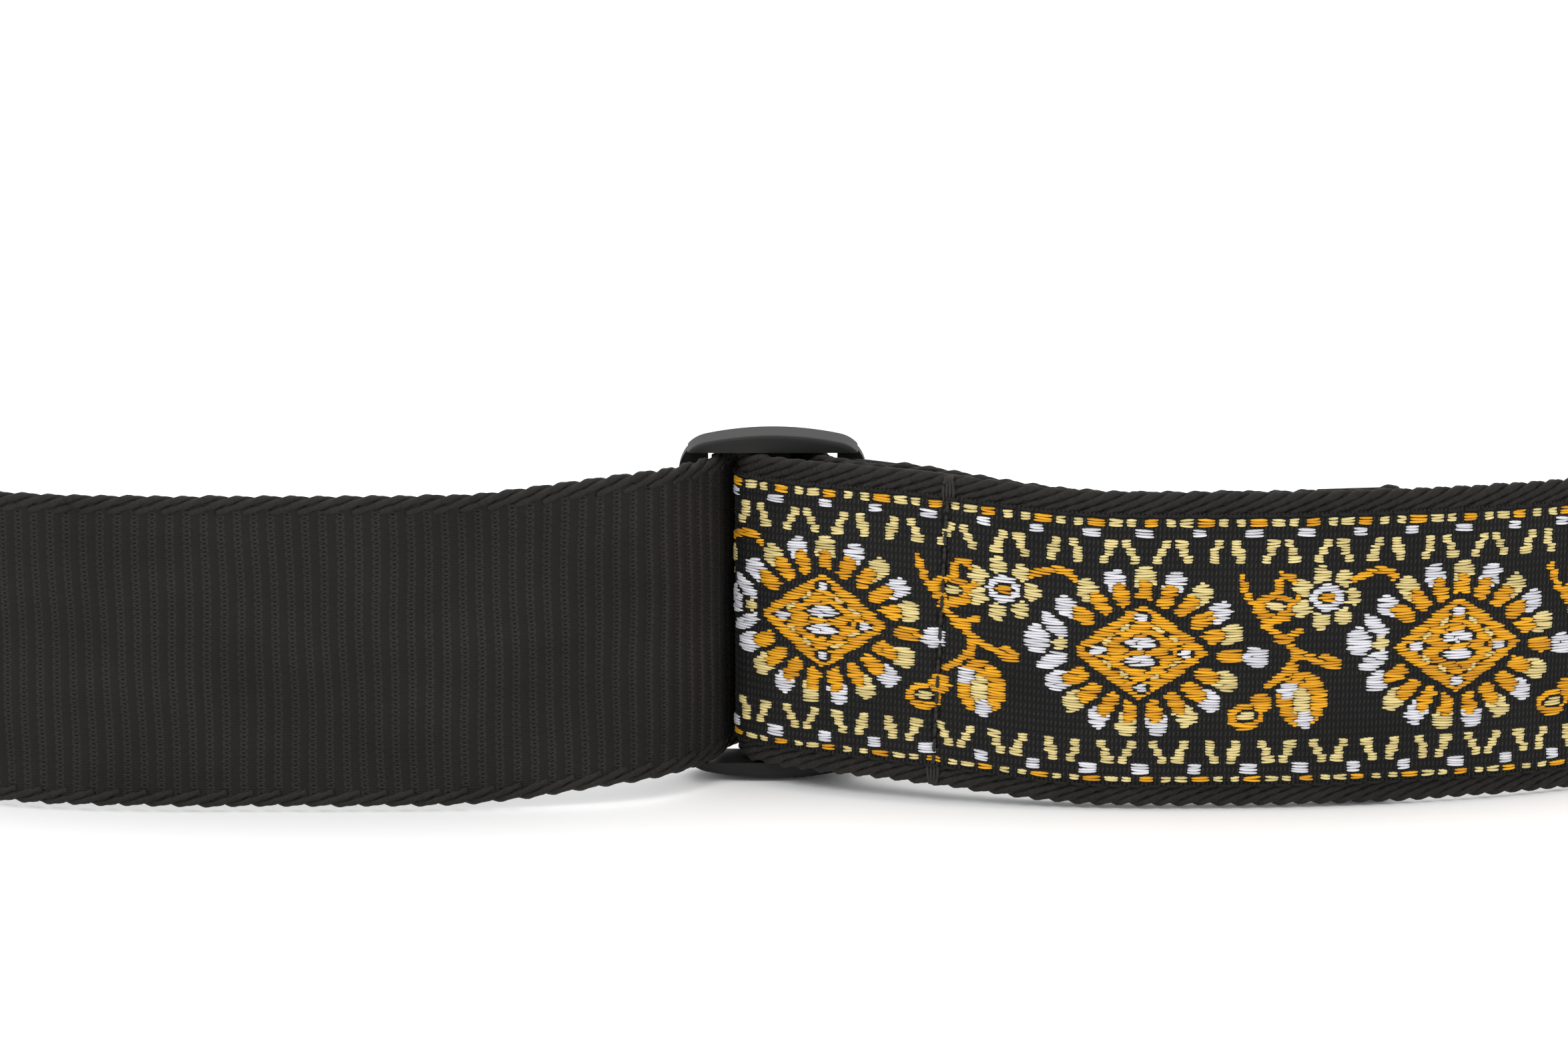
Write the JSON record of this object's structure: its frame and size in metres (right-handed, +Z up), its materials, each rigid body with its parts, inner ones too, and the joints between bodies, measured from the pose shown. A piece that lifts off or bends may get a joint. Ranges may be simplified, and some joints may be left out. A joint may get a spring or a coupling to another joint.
{
  "type": "guitar strap",
  "caption": "Woven guitar strap on edge in a horseshoe: jacquard shoulder band sewn to a three-bar slider, threaded adjusting webbing and leather button-hole tabs.",
  "frame": {"origin": "the axis of the slider's centre bar, at the height of the slider's lowest point", "axes": "+Z up, along the straps' width; -Y out of the front span's outer face; +X towards the jacquard side, -X towards the adjusting side"},
  "size_m": [0.4133, 0.3591, 0.0566],
  "materials": {
    "webbing": "ribbed woven polyester webbing, slight sheen",
    "jacquard": "woven jacquard ribbon, black ground with gold, cream and white floral floats",
    "plastic": "moulded acetal, fine matt grain",
    "leather": "black grained leather with dyed edges",
    "thread": "bonded polyester sewing thread"
  },
  "bodies": {
    "main_strap": {"backing_webbing": "webbing", "jacquard_ribbon": "jacquard", "loop_stitching": "thread", "right_tab_outer_ply": "leather", "right_tab_outer_stitching": "thread", "right_tab_inner_ply": "leather", "right_tab_inner_stitching": "thread"},
    "slider": {"slider_frame": "plastic", "webbing_in_slider": "webbing"},
    "adjuster": {"adjuster_webbing": "webbing", "adjuster_tail": "webbing", "tail_hem": "webbing", "tail_hem_stitching": "thread", "left_tab_outer_ply": "leather", "left_tab_outer_stitching": "thread", "left_tab_inner_ply": "leather", "left_tab_inner_stitching": "thread"},
    "right_tip": {"right_tab_tip": "leather"},
    "left_tip": {"left_tab_tip": "leather"}
  },
  "joints": [
    {"name": "slider_swivel", "type": "hinge", "parent": "main_strap", "child": "slider", "pos_m": [0, 0, 0.0283], "axis": [0, 0, 1], "range_deg": [0, 45]},
    {"name": "length_adjust", "type": "slide", "parent": "slider", "child": "adjuster", "axis": [-0.9848, 0.1736, 0], "range_m": [0, 0.03], "deforming": ["adjuster_tail"]},
    {"name": "right_tip_flex", "type": "hinge", "parent": "main_strap", "child": "right_tip", "pos_m": [0.203, 0.2531, 0.0254], "axis": [0, 0, 1], "range_deg": [-40, 40]},
    {"name": "left_tip_flex", "type": "hinge", "parent": "adjuster", "child": "left_tip", "pos_m": [-0.203, 0.2531, 0.0254], "axis": [0, 0, 1], "range_deg": [-40, 40]}
  ]
}
